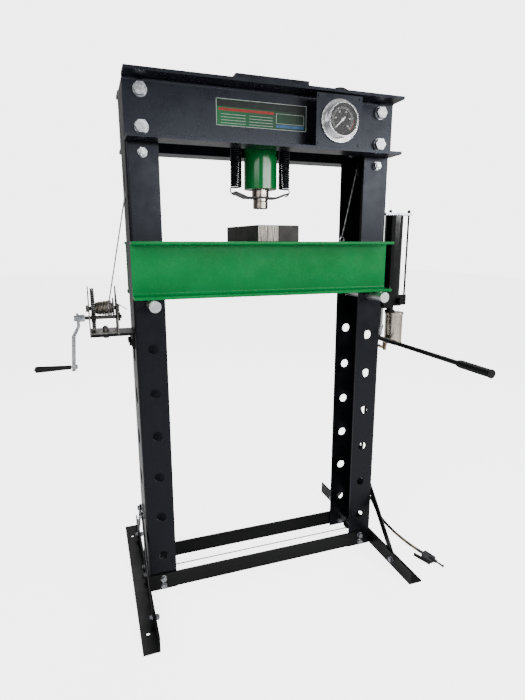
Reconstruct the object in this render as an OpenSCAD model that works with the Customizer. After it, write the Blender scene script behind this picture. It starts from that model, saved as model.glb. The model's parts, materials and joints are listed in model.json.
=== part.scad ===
// Two-post hydraulic shop press with a winch-lifted bed and an air-over-oil pump.
// X runs across the press, Y to the back, Z up. The origin is on the floor under the ram.

/* [Frame] */
// Height of the crown's top face above the floor
frame_h = 1800; // [1700:10:2000]
// Width over the two uprights
frame_w = 956; // [860:2:1100]
// Depth of an upright, front to back
post_depth = 180; // [170:1:210]
// Width of an upright's flange
post_flange = 104; // [95:1:120]
// Wall of the folded uprights
post_wall = 6; // [5:0.5:8]
// Height of the crown beams
crown_h = 192; // [180:2:230]
// Flange width of the crown beams
crown_flange = 80; // [75:1:95]
// Web thickness of the rolled beams
beam_web = 8; // [7:0.5:9]
// Flange thickness of the rolled beams
beam_flange = 10; // [9:0.5:12]
// Thickness of the plate on top of the crown
top_plate_t = 25; // [15:1:35]

/* [Bed] */
// Height of the bed's top face with the bed resting on its pins
bed_top = 1303; // [1290:1:1330]
// Height of the bed beams
bed_h = 186; // [160:2:200]
// Flange width of the bed beams
bed_flange = 62; // [55:1:75]
// Diameter of the bed pins
pin_d = 34; // [26:1:38]
// Distance from one pin hole to the next
hole_pitch = 159; // [140:1:162]
// Number of pin holes in each flange
hole_count = 7; // [5:1:7]
// Width of one loose press plate
plate_w = 78; // [60:1:90]
// Length of one loose press plate
plate_len = 300; // [240:5:310]
// Thickness of the loose press plates
plate_t = 55; // [40:1:60]

/* [Cylinder] */
// Outer diameter of the cylinder barrel
barrel_d = 118; // [105:1:126]
// Diameter of the ram rod
rod_d = 62; // [50:1:70]
// Diameter of the ram's nose
nose_d = 54; // [40:1:58]
// Height of the nose's lower face with the ram up
nose_z = 1420; // [1410:1:1435]
// Outer diameter of a return spring
spring_d = 42; // [34:1:44]
// Distance from the ram's axis to a return spring's axis
spring_x = 92; // [88:1:100]

/* [Gauge] */
// Diameter of the gauge's front flange
gauge_d = 138; // [120:1:150]
// Diameter of the gauge's raised bezel
bezel_d = 110; // [96:1:114]
// How far the bezel stands out of the flange
bezel_h = 26; // [15:1:30]

/* [Feet] */
// Length of a foot, front to back
foot_len = 770; // [650:10:900]
// Leg width of the foot angles
foot_leg = 56; // [50:1:65]
// Thickness of the foot angles
foot_t = 6; // [5:0.5:8]
// Height of the flat tie rails
rail_h = 62; // [55:1:70]

/* [Winch] */
// Teeth on the winch's drum gear
gear_teeth = 60; // [50:1:64]
// Teeth on the crank's pinion
pinion_teeth = 12; // [12:1:14]
// Tooth module of the winch gears
gear_module = 2.25; // [2:0.05:2.3]
// Diameter of the wound rope on the drum
wound_d = 55; // [50:1:60]
// Length from the crank's shaft to its grip
crank_len = 163; // [140:1:200]

/* [Pump] */
// Diameter of the oil reservoir tube
tank_d = 73; // [60:1:76]
// Length of the oil reservoir tube
tank_len = 324; // [250:2:350]
// Diameter of the air motor
motor_d = 73; // [65:1:80]
// Reach of the pump lever forward of its pivot
lever_len = 648; // [500:4:700]
// Diameter of the wire rope
rope_d = 5; // [3:0.5:5]

/* [Hidden] */
$fn = 48;

black = [0.09, 0.09, 0.1];
green = [0.03, 0.42, 0.16];
zinc = [0.75, 0.76, 0.78];
steel = [0.55, 0.56, 0.58];
brass_yellow = [0.78, 0.64, 0.33];

seat_gap = 0.3;              // gap between touching pieces on different bodies
run_gap = 0.05;              // radial clearance of a running fit
bolt_gap = 0.5;              // radial clearance of a bolt in its hole
thread_gap = 0.1;            // radial clearance of a nut on its bolt
post_x = frame_w / 2;        // outer face of an upright's web
post_y = post_depth / 2;     // front and back faces of an upright
post_in = post_x - post_flange;
hole_x = post_x - 57;        // pin holes and their pins
bolt_x = post_x - 53;        // crown and rail bolts
crown_bot = frame_h - crown_h;
crown_y = post_y + crown_flange;
crown_face = post_y + beam_web;
bed_bot = bed_top - bed_h;
bed_back = post_y + 2;       // the bed beams clear the uprights
bed_face = bed_back + beam_web;
bed_y = bed_back + bed_flange;
bed_len = frame_w + 4;
pin_z = bed_bot - seat_gap - pin_d / 2;
hole_d = pin_d + 1;
spacer_x = post_in - 33;
spacer_t = 10;
eye_z = bed_top + 9;

// ---------- shared shapes ----------

module rod_x(d, x0, x1, y, z) { translate([x0, y, z]) rotate([0, 90, 0]) cylinder(d = d, h = x1 - x0); }
module rod_y(d, x, y0, y1, z) { translate([x, y0, z]) rotate([-90, 0, 0]) cylinder(d = d, h = y1 - y0); }
module rod_z(d, x, y, z0, z1) { translate([x, y, z0]) cylinder(d = d, h = z1 - z0); }
module block(x0, x1, y0, y1, z0, z1) { translate([x0, y0, z0]) cube([x1 - x0, y1 - y0, z1 - z0]); }

// A straight round bar from point p to point q
module bar_between(p, q, d) {
  v = q - p;
  length = norm(v);
  translate(p) rotate([0, acos(v[2] / length), atan2(v[1], v[0])]) cylinder(d = d, h = length);
}

// A flat bar of given width and thickness in the YZ plane, with round ends about two bolt points
module strap_yz(p, q, width, x0, x1) {
  v = q - p;
  translate([x0, p[0], p[1]]) rotate([90, 0, 90]) difference() {
    linear_extrude(x1 - x0) rotate(atan2(v[1], v[0])) {
      circle(d = width);
      translate([0, -width / 2]) square([norm(v), width]);
      translate([norm(v), 0]) circle(d = width);
    }
    translate([0, 0, -1]) cylinder(d = m12 + 2 * bolt_gap, h = x1 - x0 + 2);
    translate([v[0], v[1], -1]) cylinder(d = m12 + 2 * bolt_gap, h = x1 - x0 + 2);
  }
}

module round_square(w, h, r) {
  translate([r, 0]) square([w - 2 * r, h]);
  translate([0, r]) square([w, h - 2 * r]);
  for (x = [r, w - r]) for (y = [r, h - r]) translate([x, y]) circle(r = r);
}

// Rolled channel: web along Y at x = 0, flanges towards +X, filleted inside
module channel_2d(height, width, web, flange, fillet) {
  difference() {
    square([width, height]);
    translate([web, flange]) round_square(width, height - 2 * flange, fillet);
  }
}

// Folded channel with rounded outer corners: web along Y at x = 0
module folded_2d(depth, width, wall, bend) {
  difference() {
    translate([0, -depth / 2]) round_square(2 * width, depth, bend);
    translate([wall, wall - depth / 2]) round_square(2 * width, depth - 2 * wall, bend - wall);
    translate([width, -depth]) square([2 * width, 2 * depth]);
  }
}

// A beam along X whose web's back face is at y = 0 and whose flanges point towards -Y
module front_beam(length, height, width, web, flange) {
  translate([length / 2, 0, 0]) rotate([90, 0, -90]) linear_extrude(length)
    channel_2d(height, width, web, flange, 8);
}

// Hex bolt along +Z: the head is below z = 0, then a washer, the grip, a washer and the nut
module bolt(d, grip, head_af, head_h, washer_d, nut_h, tail) {
  washer_t = d / 8;
  translate([0, 0, -washer_t]) {
    translate([0, 0, -head_h]) cylinder(d = head_af / cos(30), h = head_h, $fn = 6);
    cylinder(d = d, h = grip + 2 * washer_t + nut_h + tail);
  }
  for (z = [-washer_t, grip]) translate([0, 0, z]) ring(washer_d, d + 2 * bolt_gap, washer_t);
  translate([0, 0, grip + washer_t]) difference() {
    cylinder(d = head_af / cos(30), h = nut_h, $fn = 6);
    translate([0, 0, -1]) cylinder(d = d + 2 * thread_gap, h = nut_h + 2);
  }
}

module ring(outer, inner, height) {
  difference() {
    cylinder(d = outer, h = height);
    translate([0, 0, -1]) cylinder(d = inner, h = height + 2);
  }
}

module spin_xz(angle = 360) { rotate([90, 0, 0]) rotate_extrude(angle = angle) children(); }

// Point where the line from p touches a circle in the XZ plane
function touch(c, r, p, side) =
  let (d = p - c, length = norm(d), a = atan2(d[1], d[0]) + side * acos(r / length))
  c + r * [cos(a), sin(a)];
function turn_angle(c, p) = atan2(p[1] - c[1], p[0] - c[0]);

// Smooth curve through hand-picked points, with n steps between each pair
function blend4(a, b, c, d, t) =
  0.5 * ((2 * b) + (c - a) * t + (2 * a - 5 * b + 4 * c - d) * t * t + (3 * b - a - 3 * c + d) * t * t * t);
function smooth(p, n) = concat(
  [for (i = [0 : len(p) - 2]) for (j = [0 : n - 1])
    blend4(p[max(i - 1, 0)], p[i], p[i + 1], p[min(i + 2, len(p) - 1)], j / n)],
  [p[len(p) - 1]]);
function unit(v) = v / norm(v);
function heading(p, i) = unit(p[min(i + 1, len(p) - 1)] - p[max(i - 1, 0)]);

// Tube swept along a path; side_axis is a direction that the path never follows
module tube(path, d, sides, side_axis) {
  points = [for (i = [0 : len(path) - 1])
    let (t = heading(path, i), n = unit(cross(side_axis, t)), b = cross(t, n))
    for (k = [0 : sides - 1]) path[i] + d / 2 * (cos(360 * k / sides) * n + sin(360 * k / sides) * b)];
  walls = [for (i = [0 : len(path) - 2]) for (k = [0 : sides - 1])
    let (k2 = (k + 1) % sides)
    [i * sides + k, (i + 1) * sides + k, (i + 1) * sides + k2, i * sides + k2]];
  first = [for (k = [0 : sides - 1]) k];
  last = [for (k = [sides - 1 : -1 : 0]) (len(path) - 1) * sides + k];
  polyhedron(points, concat(walls, [first, last]), convexity = 6);
}

// ---------- bolts and holes that several pieces share ----------

m12 = 12;
m16 = 16;
m24 = 24;
crown_bolt_z = [frame_h - 43, frame_h - 150];
axle_z = crown_bot - 31;     // the upper pulleys' axle bolts
low_axle_z = 52;             // the lower pulleys turn on the rails' upper bolts
rail_bolt_z = [20, low_axle_z];
rail_z = 7;
rail_t = 6;
foot_bolt_y = 27;
foot_bolt_z = 28;
anchor_y = 300;
anchor_x = post_x + foot_t + 25;
anchor_d = 14;
brace_top = [30, 290];
brace_bot = [262, 30];
brace_w = 30;
brace_t = 5;

web_hole_d = 60;
web_hole_y = -5;

module pin_holes() {
  for (i = [0 : hole_count - 1])
    rod_y(hole_d, hole_x, -post_y - 1, post_y + 1, pin_z - i * hole_pitch);
}

// The right upright; the left one is its mirror image
module upright() {
  difference() {
    translate([post_x, 0, 0]) mirror([1, 0, 0]) linear_extrude(frame_h - beam_flange - 1)
      folded_2d(post_depth, post_flange, post_wall, 10);
    pin_holes();
    for (z = crown_bolt_z) rod_y(m24 + 2 * bolt_gap, bolt_x, -post_y - 1, post_y + 1, z);
    rod_y(m16 + 2 * bolt_gap, bolt_x, -post_y - 1, post_y + 1, axle_z);
    for (z = rail_bolt_z) rod_y(m12 + 2 * bolt_gap, bolt_x, -post_y - 1, post_y + 1, z);
    for (y = [-foot_bolt_y, foot_bolt_y])
      rod_x(m12 + 2 * bolt_gap, post_x - post_wall - 1, post_x + 1, y, foot_bolt_z);
    for (y = [-brace_top[0], brace_top[0]])
      rod_x(m12 + 2 * bolt_gap, post_x - post_wall - 1, post_x + 1, y, brace_top[1]);
    for (i = [1, 2, 3, 4, 6])
      rod_x(web_hole_d, post_x - post_wall - 1, post_x + 1, web_hole_y, pin_z - i * hole_pitch - 25);
  }
}

module right_upright() {
  color(black) difference() {
    upright();
    for (y = [-30, 30]) rod_x(m12 + 2 * bolt_gap, post_x - post_wall - 1, post_x + 1, y, bracket_z - 26);
    rod_x(24, post_x - post_wall - 1, post_x + 1, 33, hose_out_z + 3);
  }
}

module left_upright() {
  color(black) mirror([1, 0, 0]) difference() {
    upright();
    for (y = [-30, 30]) rod_x(m12 + 2 * bolt_gap, post_x - post_wall - 1, post_x + 1, y, winch_z - 30);
    block(post_x - post_wall - 1, post_x + 1, -9, 9, axle_z - 150, axle_z - 60);
  }
}

module crown_beam() {
  difference() {
    translate([0, -post_y, crown_bot]) front_beam(frame_w, crown_h, crown_flange, beam_web, beam_flange);
    for (x = [-bolt_x, bolt_x]) for (z = crown_bolt_z)
      rod_y(m24 + 2 * bolt_gap, x, -crown_face - 1, -post_y + 1, z);
  }
}
module front_crown_beam() {
  color(black) difference() {
    crown_beam();
    rod_y(20, gauge_x, -crown_face - 1, -post_y + 1, gauge_z);
  }
}
module rear_crown_beam() { color(black) mirror([0, 1, 0]) crown_beam(); }

mount_z = frame_h - 165;
barrel_bot = nose_z + 67;
barrel_top = frame_h;
anchor_z = crown_bot + 52;
anchor_pin_d = 10;

mount_half = spring_x - spring_d / 2 - 3;

// Plate over the crown, the plate that steadies the cylinder and the springs' cross pins
module crown_plates() {
  color(black) {
    block(-128, 128, -130, 130, frame_h, frame_h + top_plate_t);
    difference() {
      block(-mount_half, mount_half, -post_y, post_y, mount_z, mount_z + 22);
      rod_z(barrel_d + 2 * thread_gap, 0, 0, mount_z - 1, mount_z + 23);
    }
    for (x = [-spring_x, spring_x]) rod_y(anchor_pin_d, x, -post_y, post_y, anchor_z);
  }
}

module crown_bolt_set(x, z) {
  translate([x, -crown_face, z]) rotate([-90, 0, 0])
    bolt(m24, beam_web + post_wall, 36, 15, 44, 19, 4);
}
module crown_bolts() {
  color(zinc) for (x = [-bolt_x, bolt_x]) for (z = crown_bolt_z) {
    crown_bolt_set(x, z);
    mirror([0, 1, 0]) crown_bolt_set(x, z);
  }
}

// Flat bars on the front and back flanges, near the floor
module tie_rails() {
  color(black) for (side = [0, 1]) mirror([0, side, 0]) difference() {
    block(-post_x, post_x, -post_y - rail_t, -post_y, rail_z, rail_z + rail_h);
    for (x = [-bolt_x, bolt_x]) for (z = rail_bolt_z)
      rod_y(m12 + 2 * bolt_gap, x, -post_y - rail_t - 1, -post_y + 1, z);
  }
}

// Angle foot: one leg against the upright's web, the other on the floor
module foot() {
  difference() {
    union() {
      block(post_x, post_x + foot_t, -foot_len / 2, foot_len / 2, 0, foot_leg);
      block(post_x, post_x + foot_leg, -foot_len / 2, foot_len / 2, 0, foot_t);
    }
    for (y = [-foot_bolt_y, foot_bolt_y]) rod_x(m12 + 2 * bolt_gap, post_x - 1, post_x + foot_t + 1, y, foot_bolt_z);
    for (y = [-brace_bot[0], brace_bot[0]])
      rod_x(m12 + 2 * bolt_gap, post_x - 1, post_x + foot_t + 1, y, brace_bot[1]);
    for (y = [-anchor_y, anchor_y]) rod_z(anchor_d, anchor_x, y, -1, foot_t + 1);
  }
}
module right_foot() { color(black) foot(); }
module left_foot() { color(black) mirror([1, 0, 0]) foot(); }

module foot_braces() {
  color(black) for (mx = [0, 1]) mirror([mx, 0, 0]) for (my = [0, 1]) mirror([0, my, 0])
    strap_yz(brace_top, brace_bot, brace_w, post_x + foot_t, post_x + foot_t + brace_t);
}

// A bolt through a wall at x, with its head outside, on the right-hand side
module side_bolt(y, z, x_out, grip) {
  translate([x_out, y, z]) rotate([0, -90, 0]) bolt(m12, grip, 19, 7.5, 24, 10, 3);
}

// Rail, foot and brace bolts, the pulleys' axle bolts with their spacer tubes
module frame_bolts() {
  color(zinc) for (mx = [0, 1]) mirror([mx, 0, 0]) {
    for (my = [0, 1]) mirror([0, my, 0]) {
      translate([bolt_x, -post_y - rail_t, rail_bolt_z[0]]) rotate([-90, 0, 0])
        bolt(m12, rail_t + post_wall, 19, 7.5, 24, 10, 3);
      side_bolt(foot_bolt_y, foot_bolt_z, post_x + foot_t, foot_t + post_wall);
      side_bolt(brace_top[0], brace_top[1], post_x + foot_t + brace_t, foot_t + brace_t + post_wall);
      side_bolt(brace_bot[0], brace_bot[1], post_x + foot_t + brace_t, foot_t + brace_t);
      translate([post_x, brace_top[0], brace_top[1]]) rotate([0, 90, 0]) ring(26, m12 + 2 * bolt_gap, foot_t);
    }
    translate([bolt_x, post_y, axle_z]) rotate([90, 0, 0]) bolt(m16, post_depth, 24, 10, 30, 13, 5);
    axle_spacers(bolt_x, axle_z, m16, 27);
    translate([bolt_x, post_y + rail_t, low_axle_z]) rotate([90, 0, 0])
      bolt(m12, post_depth + 2 * rail_t, 19, 7.5, 24, 10, 3);
    axle_spacers(bolt_x, low_axle_z, m12, 20);
  }
}

// Spacer tubes that keep a pulley in the middle of its axle
module axle_spacers(x, z, d, tube_d) {
  for (my = [0, 1]) mirror([0, my, 0]) translate([x, -pulley_w / 2 - seat_gap, z]) rotate([90, 0, 0])
    ring(tube_d, d + 2 * bolt_gap, post_y - post_wall - pulley_w / 2 - seat_gap);
}

// ---------- pressure gauge, data plate and oil lines ----------

gauge_x = 224;
gauge_z = frame_h - 100;
panel_w = 172;
panel_h = 165;
panel_t = 3;
panel_y = crown_y;
panel_z = crown_bot + beam_flange + seat_gap;
flange_t = 6;
case_d = 100;
case_back = 40;
dial_y = panel_y + flange_t + bezel_h - 10;

module gauge_panel() {
  color(black) difference() {
    block(gauge_x - panel_w / 2, gauge_x + panel_w / 2, -panel_y, panel_t - panel_y, panel_z, panel_z + panel_h);
    rod_y(case_d + 2, gauge_x, -panel_y - 1, panel_t - panel_y + 1, gauge_z);
  }
  color(zinc) for (x = [-1, 1]) for (z = [-1, 1])
    translate([gauge_x + x * (panel_w / 2 - 9), -panel_y, panel_z + panel_h / 2 + z * (panel_h / 2 - 9)]) rotate([90, 0, 0])
      cylinder(d = 9, h = 3);
}

module gauge_case() {
  color(zinc) translate([gauge_x, -panel_y, gauge_z]) rotate([90, 0, 0]) {
    ring(gauge_d, bezel_d - 10, flange_t);
    translate([0, 0, flange_t]) ring(bezel_d, bezel_d - 10, bezel_h);
  }
  color(black) translate([gauge_x, -panel_y, gauge_z]) rotate([-90, 0, 0]) difference() {
    translate([0, 0, -flange_t - 4]) cylinder(d = case_d - 0.6, h = case_back + flange_t + 4);
    translate([0, 0, -flange_t - 5]) cylinder(d = case_d - 6, h = case_back + flange_t);
  }
}

module gauge_dial() {
  color("white") rod_y(bezel_d - 10.6, gauge_x, -dial_y, -dial_y + 1.5, gauge_z);
  color(steel) rod_y(8, gauge_x, -dial_y + 1.5, -panel_y + case_back - 6, gauge_z);
}

pointer_len = 38;
module gauge_pointer() {
  color("white") translate([gauge_x, -dial_y, gauge_z]) rotate([90, 0, 0]) {
    translate([0, 0, 1.5]) linear_extrude(1) rotate(225)
      polygon([[-12, -2], [-12, 2], [0, 2.4], [pointer_len, 0.5], [pointer_len, -0.5], [0, -2.4]]);
    translate([0, 0, 0.4]) cylinder(d = 9, h = 3);
  }
}

module gauge_lens() {
  color([0.8, 0.9, 0.95, 0.3])
    rod_y(bezel_d - 10.6, gauge_x, -panel_y - flange_t - bezel_h + 2, -panel_y - flange_t - bezel_h + 4, gauge_z);
}

tee_x = 88;
tee_z = frame_h - 30;
gauge_back = case_back + seat_gap - panel_y;
gauge_route = [[tee_x, -18, tee_z], [tee_x + 2, -38, tee_z - 4], [tee_x + 22, -52, tee_z - 20],
               [gauge_x - 54, -58, gauge_z + 26], [gauge_x - 16, -64, gauge_z + 5], [gauge_x, -82, gauge_z],
               [gauge_x, gauge_back + 24, gauge_z], [gauge_x, gauge_back, gauge_z]];
module gauge_tube() {
  color(brass_yellow) {
    rod_x(14, barrel_d / 2, tee_x + 16, 0, tee_z);
    rod_y(14, tee_x, -18, 0, tee_z);
  }
  color(steel) tube(smooth(gauge_route, 5), 6, 8, [0.1, 0.2, 1]);
}

module data_plate() {
  color("silver") block(-186, 133, -crown_face - 1, -crown_face, crown_bot + 65, crown_bot + 147);
}

// ---------- where the pump sits ----------

tank_x = post_x + 99;
block_z = 1042;
block_top = block_z + 42;
block_l = post_x + 50;
block_r = post_x + 134;
block_y = 30;
tie_x = post_x + 168;
knob_x = post_x + 122;
tank_top = block_top + tank_len;
bracket_z = block_z;
lever_x = post_x + 60;
lever_z = 903;
pivot_y = 25;
motor_x = post_x + 124;
motor_top = block_z - 30;
motor_h = 126;

// ---------- cylinder, ram and return springs ----------

bore_d = barrel_d - 26;
gland_h = 32;
module cylinder_barrel() {
  color(green) difference() {
    rod_z(barrel_d, 0, 0, barrel_bot, barrel_top);
    rod_z(bore_d, 0, 0, barrel_bot - 1, barrel_top - 20);
  }
}
module cylinder_gland() {
  color(green) translate([0, 0, barrel_bot + 1]) ring(bore_d - 2 * thread_gap, rod_d + 2 * run_gap, gland_h);
}
piston_z = barrel_top - 80;
module piston() {
  color(steel) translate([0, 0, piston_z]) ring(bore_d - 2 * run_gap, 30 + 2 * thread_gap, 40);
}
bar_t = 6;
bar_z = nose_z + 35;
groove_z = nose_z + 25;
module ram_rod() {
  color(zinc) {
    rod_z(rod_d, 0, 0, bar_z + bar_t, piston_z);
    rod_z(30, 0, 0, piston_z, piston_z + 44);
  }
}
module ram_nose() {
  color(zinc) translate([0, 0, nose_z]) rotate_extrude()
    polygon([[0, 0], [nose_d / 2 - 2, 0], [nose_d / 2, 2], [nose_d / 2, groove_z - nose_z - 1.5],
             [nose_d / 2 - 1.5, groove_z - nose_z], [nose_d / 2, groove_z - nose_z + 1.5],
             [nose_d / 2, bar_z - nose_z], [20, bar_z - nose_z], [20, bar_z - nose_z + bar_t], [0, bar_z - nose_z + bar_t]]);
}
bar_flat = 58;
bar_end = spring_x + 12;
bar_rise = 18;
bar_w = 56;
module spring_bar() {
  color(black) difference() {
    translate([0, bar_w / 2, bar_z]) rotate([90, 0, 0]) linear_extrude(bar_w)
      polygon([[-bar_flat, 0], [bar_flat, 0], [bar_end, bar_rise], [bar_end - 3, bar_rise + 5],
               [bar_flat - 2, bar_t], [2 - bar_flat, bar_t], [3 - bar_end, bar_rise + 5], [-bar_end, bar_rise]]);
    rod_z(40 + 2 * thread_gap, 0, 0, bar_z - 1, bar_z + bar_t + 1);
  }
}
spring_bot = nose_z + 80;
spring_top = anchor_z - anchor_pin_d / 2 - seat_gap;
spring_wire = 4;
module return_springs() {
  color(black) for (s = [-1, 1]) {
    translate([s * spring_x, 0, spring_bot]) ring(spring_d, spring_d - 2 * spring_wire, spring_top - spring_bot - 8);
    for (z = [spring_bot - spring_wire, spring_top - 8])
      block(s * spring_x - spring_d / 2, s * spring_x + spring_d / 2, -2, 2, z, z + 8);
    rod_z(spring_wire, s * (bar_end - 3), 0, bar_z + bar_rise + 5 + seat_gap, spring_bot);
  }
}

hose_d = 12;
hose_out_z = 1063;
hose_route = [[tee_x + 16.4, 0, tee_z], [tee_x + 40, 0, tee_z], [170, 0, tee_z - 1], [205, 2, frame_h - 18], [252, 5, frame_h + 18],
              [295, 8, frame_h + 51], [338, 14, frame_h + 57], [384, 24, frame_h + 34], [424, 36, frame_h - 6],
              [447, 46, 1746], [456, 55, 1690], [456, 58, 1620], [456, 58, 1400], [456, 58, 1240], [456, 56, 1150],
              [459, 48, 1102], [466, 38, 1074], [481, 31, 1063], [500, 28, 1063],
              [block_l - 12, 28, 1063], [block_l - 0.4, 28, 1063]];
module hydraulic_hose() { color(black) tube(smooth(hose_route, 3), hose_d, 10, [0.1, 1, 0.05]); }

// ---------- bed ----------

module bed_channel() {
  color(green) translate([0, -bed_back, bed_bot]) front_beam(bed_len, bed_h, bed_flange, beam_web, beam_flange);
}
module front_bed_channel() { bed_channel(); }
module rear_bed_channel() { mirror([0, 1, 0]) bed_channel(); }

lug_z = bed_bot + 12;
module bed_spacers() {
  color(green) for (s = [-1, 1]) difference() {
    block(s * spacer_x - spacer_t / 2, s * spacer_x + spacer_t / 2, -bed_back, bed_back, bed_bot + 8, bed_top - 8);
  }
  color(green) block(-low_rope_x - 12, -spacer_x - spacer_t / 2, -8, 8, lug_z, lug_z + 12);
  color(zinc) {
    rod_z(8, spacer_x, 0, bed_top - 8, eye_z - 8);
    translate([spacer_x, 0, eye_z]) spin_xz() translate([9, 0]) circle(d = 6);
  }
}

plate_turn = 5;
module press_plates() {
  color(steel) translate([2, 0, bed_top]) rotate(plate_turn) for (s = [-1, 1])
    translate([s * (plate_w + seat_gap) / 2 - plate_w / 2, -plate_len / 2, 0]) cube([plate_w, plate_len, plate_t]);
}

pin_front = bed_y + 38;
pin_back = bed_y + 14;
module bed_pin() {
  color(zinc) {
    rod_y(pin_d, hole_x, -pin_front, pin_back, pin_z);
    rod_y(pin_d + 4, hole_x, -pin_front - 6, -pin_front, pin_z);
  }
}
module right_bed_pin() { bed_pin(); }
module left_bed_pin() { mirror([1, 0, 0]) bed_pin(); }

// ---------- winch ----------

winch_z = 988;
winch_w = 55;
winch_out = post_x + 144;
winch_plate_t = 10;
base_z = winch_z + winch_plate_t;
winch_mid = -post_x - 92;
side_l = -winch_out;
side_r = -post_x - 50;
side_t = 4;
side_top = 142;
drum_y = 22;
drum_z = base_z + 79;
centre_dist = gear_module * (gear_teeth + pinion_teeth) / 2;
pinion_drop = 21;
pinion_y = drum_y - sqrt(centre_dist * centre_dist - pinion_drop * pinion_drop);
pinion_z = drum_z - pinion_drop;
shaft_d = 14;
crank_shaft_d = 12;

module winch_bracket() {
  color(black) difference() {
    union() {
      block(-winch_out, -post_x, -winch_w, winch_w, winch_z, base_z);
      block(-post_x - 8, -post_x, -winch_w, winch_w, winch_z - 48, winch_z);
    }
    for (y = [-30, 30]) rod_x(m12 + 2 * bolt_gap, -post_x - 9, -post_x + 1, y, winch_z - 30);
    for (y = [-25, 25]) rod_z(10 + 2 * bolt_gap, winch_mid, y, winch_z - 1, base_z + 1);
  }
  color(zinc) for (y = [-30, 30]) mirror([1, 0, 0]) side_bolt(y, winch_z - 30, post_x + 8, 8 + post_wall);
}

module winch_side() {
  difference() {
    linear_extrude(side_t) {
      polygon([[-78, 0], [60, 0], [60, 30], [drum_y + 16, side_top], [drum_y - 16, side_top], [-78, 70]]);
      translate([drum_y, side_top - 2]) circle(d = 32);
    }
    translate([drum_y, drum_z - base_z, -1]) cylinder(d = shaft_d + 2 * run_gap, h = side_t + 2);
    translate([pinion_y, pinion_z - base_z, -1]) cylinder(d = crank_shaft_d + 2 * run_gap, h = side_t + 2);
    translate([drum_y, side_top - 2, -1]) cylinder(d = 14, h = side_t + 2);
  }
}
module winch_frame() {
  color(zinc) {
    difference() {
      block(side_l, side_r, -winch_w, winch_w, base_z, base_z + side_t);
      for (y = [-25, 25]) rod_z(10 + 2 * bolt_gap, winch_mid, y, base_z - 1, base_z + side_t + 1);
    }
    for (x = [side_l, side_r - side_t]) translate([x, 0, base_z]) rotate([90, 0, 90]) winch_side();
    for (y = [-25, 25]) translate([winch_mid, y, winch_z]) bolt(10, winch_plate_t + side_t, 16, 6.5, 20, 8, 3);
    rod_x(shaft_d, side_l - 8, side_r + 6, drum_y, drum_z);
    rod_x(6, side_r - side_t, side_r + 7, pawl_y, pawl_z);
    rod_x(10, side_r + 5.6, side_r + 7, pawl_y, pawl_z);
    for (x = [side_l - 8, side_r]) translate([x, drum_y, drum_z]) rotate([0, 90, 0]) difference() {
      cylinder(d = 24, h = 7.9, $fn = 6);
      translate([0, 0, -1]) cylinder(d = shaft_d + 2 * thread_gap, h = 12);
    }
  }
}

// Straight-flanked teeth, thinned so that the pair runs free
function tooth(radius, m, a, step) = [
  for (p = [[-1.25, -0.27], [1, -0.1], [1, 0.1], [-1.25, 0.27]])
  (radius + p[0] * m) * [cos(a + p[1] * step), sin(a + p[1] * step)]];
module gear_2d(teeth, m, phase) {
  step = 360 / teeth;
  polygon([for (i = [0 : teeth - 1]) for (p = tooth(teeth * m / 2, m, phase + i * step, step)) p]);
}
mesh_angle = atan2(pinion_z - drum_z, pinion_y - drum_y);
gear_x = side_l + 9;
gear_w = 13;
drum_end = side_r - side_t - 5;

module winch_drum() {
  color(zinc) translate([0, drum_y, drum_z]) rotate([90, 0, 90]) difference() {
    union() {
      translate([0, 0, gear_x]) linear_extrude(gear_w) gear_2d(gear_teeth, gear_module, mesh_angle);
      translate([0, 0, gear_x + gear_w]) cylinder(d = 36, h = drum_end - gear_x - gear_w);
      translate([0, 0, drum_end - 4]) cylinder(d = wound_d + 16, h = 4);
    }
    translate([0, 0, gear_x - 1]) cylinder(d = shaft_d + 2 * run_gap, h = drum_end - gear_x + 2);
  }
  color(steel) translate([gear_x + gear_w + 1, drum_y, drum_z]) rotate([0, 90, 0])
    ring(wound_d, 36 + 2 * thread_gap, drum_end - 5 - gear_x - gear_w - 1);
}

ratchet_r = 15;
module winch_pinion() {
  color(steel) {
    rod_x(crank_shaft_d, crank_hub, side_r + 12, pinion_y, pinion_z);
    translate([0, pinion_y, pinion_z]) rotate([90, 0, 90]) {
      translate([0, 0, gear_x - 1]) linear_extrude(gear_w + 2)
        gear_2d(pinion_teeth, gear_module, mesh_angle + 180 + 180 / pinion_teeth);
      translate([0, 0, side_r + 1]) linear_extrude(6)
        polygon([for (i = [0 : 11]) for (p = [[11, 0], [ratchet_r, 20]])
          p[0] * [cos(30 * i + p[1]), sin(30 * i + p[1])]]);
    }
  }
}

crank_hub = side_l - 40;
arm_w = 24;
module winch_crank() {
  color(zinc) difference() {
    union() {
      translate([crank_hub + 8, pinion_y, pinion_z]) rotate([0, 90, 0]) cylinder(d = 24, h = 20);
      translate([0, pinion_y + arm_w / 2, pinion_z]) rotate([90, 0, 0]) linear_extrude(arm_w)
        polygon([[crank_hub + 8, 16], [crank_hub + 2, 16], [crank_hub + 2, -26], [crank_hub - 17, -60],
                 [crank_hub - 25, -crank_len - 12], [crank_hub - 13, -crank_len - 12], [crank_hub - 5, -60],
                 [crank_hub + 12, -26]]);
      translate([crank_hub - 14, pinion_y, pinion_z - crank_len]) rotate([0, 90, 0]) cylinder(d = 15, h = 8, $fn = 6);
      translate([0, pinion_y, pinion_z - crank_len]) rod_x(8, crank_hub - 140, crank_hub - 21, 0, 0);
    }
    rod_x(crank_shaft_d + 2 * thread_gap, crank_hub - 1, crank_hub + 30, pinion_y, pinion_z);
  }
  color(zinc) translate([crank_hub - 6, pinion_y, pinion_z]) rotate([0, 90, 0]) difference() {
    cylinder(d = 20, h = 7.9, $fn = 6);
    translate([0, 0, 5.9]) cylinder(d = crank_shaft_d + 2 * thread_gap, h = 3);
  }
}
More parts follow.
